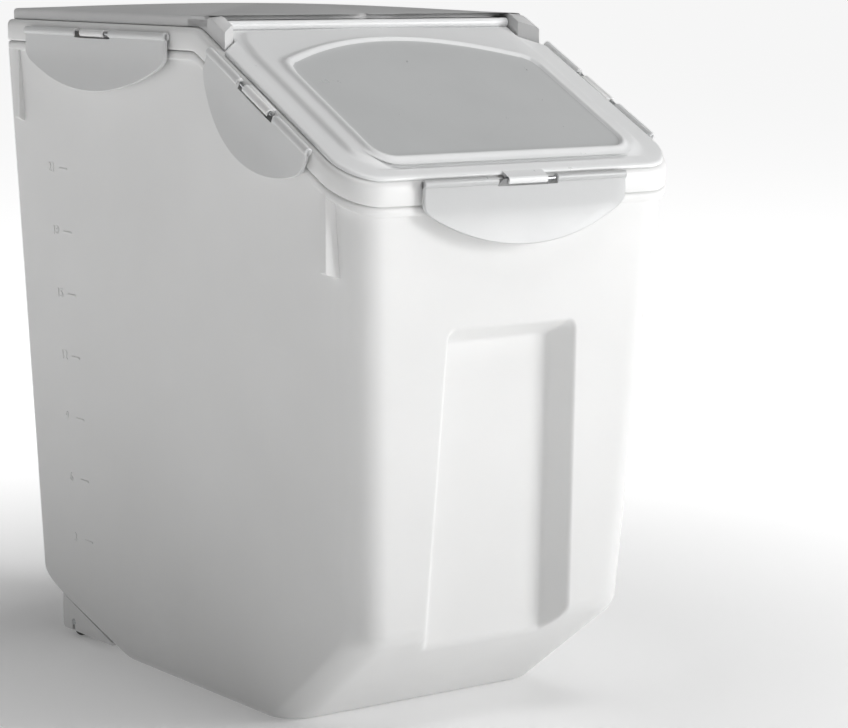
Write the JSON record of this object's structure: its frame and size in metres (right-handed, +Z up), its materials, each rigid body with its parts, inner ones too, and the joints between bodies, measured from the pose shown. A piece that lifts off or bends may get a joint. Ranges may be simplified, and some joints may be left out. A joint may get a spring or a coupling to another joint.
{
  "type": "pet food bin",
  "caption": "Wheeled dry-food bin with a sloping front, a clear flip lid with a front latch, a lift-off main lid held by side latches, and rear wheels.",
  "frame": {"origin": "on the floor, under the middle of the bin", "axes": "+Z up, -Y towards the sloping front, +X to the right seen from the front"},
  "size_m": [0.2538, 0.4099, 0.4157],
  "materials": {
    "white_plastic": "satin moulded polypropylene",
    "lid_white": "satin moulded polypropylene",
    "cover_white": "satin moulded polypropylene",
    "latch_plastic": "slightly translucent satin plastic",
    "clear_plastic": "clear gloss",
    "silicone": "translucent silicone",
    "wheel_black": "matte black moulded",
    "steel": "plain pin steel"
  },
  "bodies": {
    "bin": {"bin_body": "white_plastic", "axle_left": "steel", "axle_right": "steel"},
    "wheel_left": {"wheel_left": "wheel_black"},
    "wheel_right": {"wheel_right": "wheel_black"},
    "main_lid": {"lid_frame": "lid_white", "lid_seal": "silicone", "rear_cover": "cover_white", "hinge_pin_left": "steel", "hinge_pin_right": "steel"},
    "rear_latch_left": {"latch_rear_left": "latch_plastic", "latch_pin_rear_left": "steel"},
    "rear_latch_right": {"latch_rear_right": "latch_plastic", "latch_pin_rear_right": "steel"},
    "slope_latch_left": {"latch_slope_left": "latch_plastic", "latch_pin_slope_left": "steel"},
    "slope_latch_right": {"latch_slope_right": "latch_plastic", "latch_pin_slope_right": "steel"},
    "flip_lid": {"flip_lid": "clear_plastic", "flip_seal": "silicone"},
    "front_latch": {"latch_front": "clear_plastic", "latch_pin_front": "steel"}
  },
  "joints": [
    {"name": "main_lid_lift", "type": "slide", "parent": "bin", "child": "main_lid", "axis": [0, 0, 1], "range_m": [0, 0.15]},
    {"name": "wheel_spin_left", "type": "hinge", "parent": "bin", "child": "wheel_left", "pos_m": [-0.0842, 0.1555, 0.0098], "axis": [1, 0, 0], "continuous": true},
    {"name": "wheel_spin_right", "type": "hinge", "parent": "bin", "child": "wheel_right", "pos_m": [0.0842, 0.1555, 0.0098], "axis": [1, 0, 0], "continuous": true},
    {"name": "flip_lid_hinge", "type": "hinge", "parent": "main_lid", "child": "flip_lid", "pos_m": [0, -0.0485, 0.4056], "axis": [-1, 0, 0], "range_deg": [0, 125]},
    {"name": "front_latch_hinge", "type": "hinge", "parent": "flip_lid", "child": "front_latch", "pos_m": [0, -0.2014, 0.323], "axis": [-1, 0, 0], "range_deg": [0, 110]},
    {"name": "rear_latch_left_hinge", "type": "hinge", "parent": "main_lid", "child": "rear_latch_left", "pos_m": [-0.1229, 0.0685, 0.3985], "axis": [0, 1, 0], "range_deg": [0, 110]},
    {"name": "rear_latch_right_hinge", "type": "hinge", "parent": "main_lid", "child": "rear_latch_right", "pos_m": [0.1229, 0.0685, 0.3985], "axis": [0, -1, 0], "range_deg": [0, 110]},
    {"name": "slope_latch_left_hinge", "type": "hinge", "parent": "main_lid", "child": "slope_latch_left", "pos_m": [-0.1229, -0.11515, 0.36611], "axis": [0, 0.8898, 0.4563], "range_deg": [0, 110]},
    {"name": "slope_latch_right_hinge", "type": "hinge", "parent": "main_lid", "child": "slope_latch_right", "pos_m": [0.1229, -0.11515, 0.36611], "axis": [0, -0.8898, -0.4563], "range_deg": [0, 110]}
  ]
}
